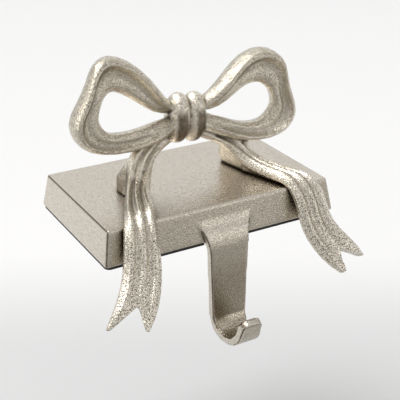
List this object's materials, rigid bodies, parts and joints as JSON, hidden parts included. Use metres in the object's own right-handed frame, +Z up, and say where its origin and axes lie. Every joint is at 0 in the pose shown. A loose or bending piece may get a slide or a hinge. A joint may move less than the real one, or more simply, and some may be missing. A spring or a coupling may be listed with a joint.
{
  "type": "mantel stocking holder",
  "caption": "Stocking holder: a drafted cast block with a J hook down its front face and a cast ribbon bow on its top.",
  "frame": {"origin": "on the underside of the pad, under the middle of the block, level with the shelf it rests on", "axes": "+X to the right seen from the front, +Y to the back, +Z up; the hook hangs down at -Y below the origin's level"},
  "size_m": [0.1586, 0.1176, 0.151],
  "materials": {
    "base_metal": "satin nickel, fine sand-cast grain",
    "bow_metal": "satin nickel, coarse hammered grain",
    "screw_steel": "plated steel",
    "pad": "dark non-slip sheet"
  },
  "bodies": {
    "root": {"base_with_hook": "base_metal", "bow": "bow_metal", "bow_screw_left": "screw_steel", "bow_screw_right": "screw_steel", "mantel_pad": "pad"}
  },
  "joints": []
}
